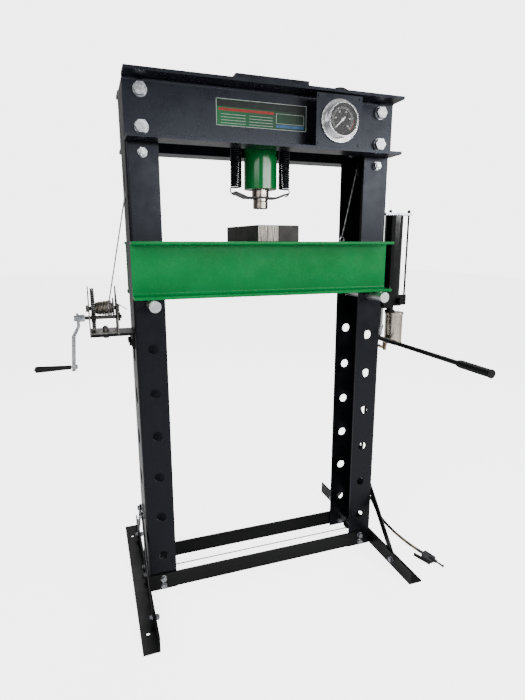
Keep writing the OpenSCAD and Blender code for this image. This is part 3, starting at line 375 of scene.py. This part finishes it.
def finishedCopy(node, material, bevel):
    source = frame["nodes"][node]
    selectOnly(source)
    bpy.ops.object.duplicate()
    piece = bpy.context.object
    piece.parent = None
    piece.matrix_world = Matrix.Identity(4)
    words = node.split("_")
    piece.name = words[0] + "".join(w.capitalize() for w in words[1:]) + "Piece"
    piece.data.materials.clear()
    piece.data.materials.append(material)
    for face in piece.data.polygons:
        face.material_index = 0
    selectOnly(piece)
    bpy.ops.object.mode_set(mode="EDIT")
    bpy.ops.mesh.select_all(action="SELECT")
    bpy.ops.mesh.remove_doubles(threshold=0.00001)
    bpy.ops.mesh.dissolve_limited(angle_limit=math.radians(1))
    bpy.ops.mesh.select_all(action="DESELECT")
    bpy.ops.object.mode_set(mode="OBJECT")
    edge = piece.modifiers.new("worn edges", "BEVEL")
    edge.width, edge.segments, edge.limit_method = bevel * mm, 2, "ANGLE"
    edge.angle_limit = math.radians(40)
    bpy.ops.object.modifier_apply(modifier=edge.name)
    bpy.ops.object.shade_smooth_by_angle(angle=math.radians(35))
    flat = piece.modifiers.new("flat faces", "WEIGHTED_NORMAL")
    flat.weight, flat.keep_sharp = 100, True
    bpy.ops.object.modifier_apply(modifier=flat.name)
    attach(piece, nodeBody[node])
    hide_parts(node)
    pieceOf[node] = piece
    return piece


for node, (material, bevel) in finishes.items():
    finishedCopy(node, material, bevel)


def repaint(node, material, test):
    # a second finish on the faces that the test picks, by centre and normal
    piece = pieceOf[node]
    piece.data.materials.append(material)
    last = len(piece.data.materials) - 1
    for face in piece.data.polygons:
        if test(face.center, face.normal):
            face.material_index = last


edges = {"crown": 1.5, "beamFace": 0.079, "spacerTop": 1.3035, "capLow": 1.4075, "capHigh": 1.4175,
         "gearSide": -0.5995, "drumSide": -0.5415, "drumY": 0.022, "drumZ": 1.077, "toothReach": 0.0694,
         "frontNormal": -0.7, "cutEnd": 0.014}
repaint("frame_bolts", smallBlack, lambda c, n: c.z > edges["crown"] and abs(c.y) < edges["beamFace"])
repaint("bed_spacers", zincBright, lambda c, n: c.z > edges["spacerTop"])
repaint("reservoir_cap", smallBlack, lambda c, n: c.z < edges["capLow"] or c.z > edges["capHigh"])
repaint("winch_drum", gearSteel, lambda c, n: c.x < edges["gearSide"])
repaint("winch_drum", zincBright,
        lambda c, n: math.hypot(c.y - edges["drumY"], c.z - edges["drumZ"]) > edges["toothReach"])
repaint("press_plates", flameCut, lambda c, n: n.y < edges["frontNormal"] and c.x < edges["cutEnd"])

# the plain sleeve on the drum gives way to the wound rope below
drumPiece = pieceOf["winch_drum"]
selectOnly(drumPiece)
bpy.ops.object.mode_set(mode="EDIT")
bpy.ops.mesh.select_all(action="DESELECT")
bpy.ops.object.mode_set(mode="OBJECT")
for face in drumPiece.data.polygons:
    spots = [drumPiece.data.vertices[v].co.x for v in face.vertices]
    face.select = all(edges["gearSide"] < spot < edges["drumSide"] for spot in spots)
bpy.ops.object.mode_set(mode="EDIT")
bpy.ops.mesh.select_mode(type="FACE")
bpy.ops.mesh.delete(type="FACE")
bpy.ops.object.mode_set(mode="OBJECT")
print("steelwork finished")

for node, material in (("gauge_lens", lensGlass), ("gauge_dial", dialBlack), ("data_plate", plateSheet)):
    nodeObject = frame["nodes"][node]
    for i in range(len(nodeObject.material_slots)):
        nodeObject.material_slots[i].material = material


# return springs: close coils that hook over the cross pins and into the bar's ends

spring = {"centre": 92, "coilRadius": 18, "wire": 5.9, "hookWire": 4.6, "bottom": 1492, "top": 1645, "pitch": 6.2,
          "stepsPerTurn": 20}
for name, sign in (("leftSpring", -1), ("rightSpring", 1)):
    turns = (spring["top"] - spring["bottom"]) / spring["pitch"]
    count = int(turns) * spring["stepsPerTurn"]
    coil = []
    for i in range(count + 1):
        angle = 2 * math.pi * i / spring["stepsPerTurn"]
        coil.append((spring["centre"] + spring["coilRadius"] * math.cos(angle), spring["coilRadius"] * math.sin(angle),
                     spring["bottom"] + (spring["top"] - spring["bottom"]) * i / count))
    lowHook = [(97, 0, 1465.5), (103, 0, 1467.5), (110, 0, 1472), (113.6, 0, 1479), (113.2, 0, 1485),
               (111.5, 0, 1489.5)]
    highHook = [(spring["centre"] + 15, 2, 1648.5), (spring["centre"] + 9, 1, 1653)]
    highHook += [(spring["centre"] + 7.4 * math.cos(a), 0, 1660 + 7.4 * math.sin(a))
                 for a in (math.radians(d) for d in range(-10, 230, 20))]
    route = [(sign * x * mm, y * mm, z * mm) for x, y, z in lowHook + coil + highHook]
    radii = [spring["hookWire"] / 2 * mm] * len(lowHook) + [spring["wire"] / 2 * mm] * len(coil)
    radii += [spring["hookWire"] / 2 * mm] * len(highHook)
    wire = sweepTube(name, route, radii, 8, springBlack)
    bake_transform(wire)
    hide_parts("return_springs")
print("springs wound")

# laid wire ropes, on the same lines as the solids

rope = {"radius": 2.5, "lay": 27, "sides": 18, "strands": 6, "step": 3}


def ropeBetween(points):
    # evenly spaced points along straight runs
    out = []
    for a, b in zip(points, points[1:]):
        a, b = Vector(a), Vector(b)
        n = max(1, int((b - a).length / rope["step"]))
        out += [a.lerp(b, i / n) for i in range(n)]
    return out + [Vector(points[-1])]


def laidRope(name, points, body=None):
    points = [Vector(p) * mm for p in ropeBetween(points)]
    piece = sweepTube(name, points, rope["radius"] * mm, rope["sides"], ropeSteel, rope["strands"], rope["lay"] * mm)
    if body:
        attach(piece, body)
    return piece


def arcPoints(centreX, centreZ, radius, first, last, steps=14):
    return [(centreX + radius * math.cos(math.radians(first + (last - first) * i / steps)), 0,
             centreZ + radius * math.sin(math.radians(first + (last - first) * i / steps))) for i in range(steps + 1)]


upper = {"x": 425, "z": 1577, "run": 27.8, "inner": 167.6}
lower = {"x": 425, "z": 52, "run": 20.8}
eye = {"x": 341, "z": 1324.6}
drumRope = {"x": 558, "y": -8.3, "z": 1077}
liftRope = laidRope("liftRope", [(-drumRope["x"], drumRope["y"], drumRope["z"])]
                    + arcPoints(-upper["x"], upper["z"], upper["run"], 168, 0), "frame")
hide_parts("lift_rope")
levelRope = laidRope("levelRope", [(-lower["x"] - lower["run"], 0, lower["z"])]
                     + arcPoints(-lower["x"], lower["z"], lower["run"], 180, 270)[1:]
                     + arcPoints(lower["x"], lower["z"], lower["run"], 270, 360)
                     + arcPoints(upper["x"], upper["z"], upper["run"], 0, upper["inner"]), "frame")
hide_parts("level_rope")
innerX = upper["x"] + upper["run"] * math.cos(math.radians(upper["inner"]))
innerZ = upper["z"] + upper["run"] * math.sin(math.radians(upper["inner"]))
bedRopes = (("leftBedRope", (upper["run"] - upper["x"], 0, 1141.3), (upper["run"] - upper["x"], 0, upper["z"])),
            ("rightBedRope", (eye["x"], 0, eye["z"]), (innerX, 0, innerZ)))
for name, low, high in bedRopes:
    bedRope = laidRope(name, [low, high])
    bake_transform(bedRope)
    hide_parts("bed_ropes")
leftRun = {"x": -lower["x"] - lower["run"], "low": lower["z"], "high": 1128.5}
leftLevel = laidRope("leftLevelRope", [(leftRun["x"], 0, leftRun["low"]), (leftRun["x"], 0, leftRun["high"])])
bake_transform(leftLevel)
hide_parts("left_level_rope")

# rope wound on the drum, thin at the gear and heaped up where it leaves
wound = {"thin": 20.4, "full": 25.0, "wave": 1.2, "first": -597, "last": -544.5, "pitch": 4.9, "stepsPerTurn": 28,
         "axisY": 22, "axisZ": 1077}
turnCount = int((wound["last"] - wound["first"]) / wound["pitch"])
winding = []
for i in range(turnCount * wound["stepsPerTurn"] + 1):
    angle = 2 * math.pi * i / wound["stepsPerTurn"]
    done = i / (turnCount * wound["stepsPerTurn"])
    reach = wound["thin"] + (wound["full"] - wound["thin"]) * min(1, done * 1.3)
    reach -= wound["wave"] * (0.5 + 0.5 * math.sin(21 * done))
    winding.append(Vector((wound["first"] + (wound["last"] - wound["first"]) * done,
                           wound["axisY"] + reach * math.cos(angle),
                           wound["axisZ"] + reach * math.sin(angle))) * mm)
woundRope = sweepTube("woundRope", winding, 2.4 * mm, 10, ropeOiled)
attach(woundRope, "drum")
print("ropes laid")

# oil hose with crimped ends

oilRoute = [(104.4, 0, 1770), (128, 0, 1770), (170, 0, 1769), (205, 2, 1782), (252, 5, 1818), (295, 8, 1851),
            (338, 14, 1857), (384, 24, 1834), (424, 36, 1794), (447, 46, 1746), (456, 55, 1690), (456, 58, 1620),
            (456, 58, 1400), (456, 58, 1240), (456, 56, 1150), (459, 48, 1102), (466, 38, 1074), (481, 31, 1063),
            (500, 28, 1063), (516, 28, 1063), (527.6, 28, 1063)]
oilPoints = curvePoints([tuple(c * mm for c in p) for p in oilRoute], 8)
oilRadii = []
for point in oilPoints:
    nearEnd = min((point - oilPoints[0]).length, (point - oilPoints[-1]).length)
    oilRadii.append(6.6 * mm if nearEnd < 22 * mm else 6 * mm)
oilTube = sweepTube("oilHoseTube", oilPoints, oilRadii, 20, hoseRubber)
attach(oilTube, "frame")
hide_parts("hydraulic_hose")
print("oil hose made")

# gauge dial: ticks, plain numbers and the red end of the scale

dial = {"x": 224, "z": 1700, "face": -192.15, "zero": 45, "sweep": 270, "divisions": 50,
        "numbers": (0, 10, 20, 30, 40, 50), "numberReach": 27, "numberSize": 7}
tick = {"long": 35, "middle": 36.5, "short": 38, "outer": 40, "boldHalf": 0.7, "fineHalf": 0.3}


def dialPoint(angle, reach, lift=0.0):
    a = math.radians(angle)
    return Vector((dial["x"] - reach * math.sin(a), dial["face"] - lift, dial["z"] - reach * math.cos(a))) * mm


def dialStrip(name, angle0, angle1, inner, outer, steps, material):
    vertices, faces = [], []
    for i in range(steps + 1):
        angle = angle0 + (angle1 - angle0) * i / steps
        vertices += [dialPoint(angle, inner), dialPoint(angle, outer)]
    for i in range(steps):
        faces.append((2 * i, 2 * i + 1, 2 * i + 3, 2 * i + 2))
    mesh = bpy.data.meshes.new(name)
    mesh.from_pydata([tuple(v) for v in vertices], [], faces)
    mesh.materials.append(material)
    piece = bpy.data.objects.new(name, mesh)
    bpy.context.collection.objects.link(piece)
    selectOnly(piece)
    thick = piece.modifiers.new("ink", "SOLIDIFY")
    thick.thickness, thick.offset = 0.12 * mm, 0
    bpy.ops.object.modifier_apply(modifier=thick.name)
    return piece


marks = []
for i in range(dial["divisions"] + 1):
    angle = dial["zero"] + dial["sweep"] * i / dial["divisions"]
    major = i % 10 == 0
    half = tick["boldHalf"] if major else tick["fineHalf"]
    inner = tick["long"] if major else (tick["middle"] if i % 5 == 0 else tick["short"])
    marks.append(dialStrip("tick", angle - half, angle + half, inner, tick["outer"], 1, dialWhite))
marks.append(dialStrip("rim", dial["zero"], dial["zero"] + dial["sweep"], 34.6, 34.9, 60, dialWhite))
redBand = dialStrip("redBand", 270, dial["zero"] + dial["sweep"], 41.5, 43, 12, dialRed)
for i, number in enumerate(dial["numbers"]):
    angle = dial["zero"] + dial["sweep"] * i / (len(dial["numbers"]) - 1)
    bpy.ops.object.text_add(location=dialPoint(angle, dial["numberReach"]), rotation=(math.radians(90), 0, 0))
    label = bpy.context.object
    label.data.body = str(number)
    label.data.size = dial["numberSize"] * mm
    label.data.align_x, label.data.align_y = "CENTER", "CENTER"
    label.data.extrude = 0.06 * mm
    bpy.ops.object.convert(target="MESH")
    placed(label)
    label.data.materials.append(dialWhite)
    marks.append(label)
dialMarks = joined("dialMarks", marks)
for piece in (dialMarks, redBand):
    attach(piece, "frame")
print("dial printed")

# data plate print: pale frame, dark title band, red band, a small table and a blue strip

sheet = {"left": -186, "right": 133, "low": 1673, "high": 1755, "front": -99.0, "ink": 0.1, "border": 1.4,
         "boxLeft": 208, "boxRight": 310, "rowStart": 16, "rowStep": 96, "rowLength": 84}


def inkPatch(name, left, right, low, high, material):
    # measured in millimetres from the sheet's lower left corner
    bpy.ops.mesh.primitive_cube_add(size=1)
    patch = bpy.context.object
    patch.name = name
    patch.scale = ((right - left) * mm, sheet["ink"] * mm, (high - low) * mm)
    patch.location = ((sheet["left"] + (left + right) / 2) * mm, (sheet["front"] - sheet["ink"] / 2) * mm,
                      (sheet["low"] + (low + high) / 2) * mm)
    placed(patch)
    patch.data.materials.append(material)
    return patch


width, height = sheet["right"] - sheet["left"], sheet["high"] - sheet["low"]
border, boxLeft, boxRight = sheet["border"], sheet["boxLeft"], sheet["boxRight"]
frameInk = [inkPatch("edge", *span, platePale) for span in (
    (0, width, 0, border), (0, width, height - border, height), (0, border, border, height - border),
    (width - border, width, border, height - border))]
frameInk += [inkPatch("box", *span, platePale) for span in (
    (boxLeft, boxRight, 19, 20), (boxLeft, boxRight, 50, 51), (boxLeft, boxLeft + 1, 20, 50),
    (boxRight - 1, boxRight, 20, 50))]
for column in (0, 1):
    rowLeft = sheet["rowStart"] + sheet["rowStep"] * column
    frameInk += [inkPatch("row", rowLeft, rowLeft + sheet["rowLength"], 8 + 9 * row, 9 + 9 * row, platePale)
                 for row in range(4)]
printPale = joined("platePrintPale", frameInk)
titleBand = inkPatch("platePrintDark", 3, width - 3, 58, height - 3, plateDark)
printRed = inkPatch("platePrintRed", 8, 200, 46, 54, plateRed)
printBlue = inkPatch("platePrintBlue", boxLeft, boxRight, 7, 16, plateBlue)
for piece in (printPale, printRed, printBlue, titleBand):
    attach(piece, "frame")
print("plate printed")
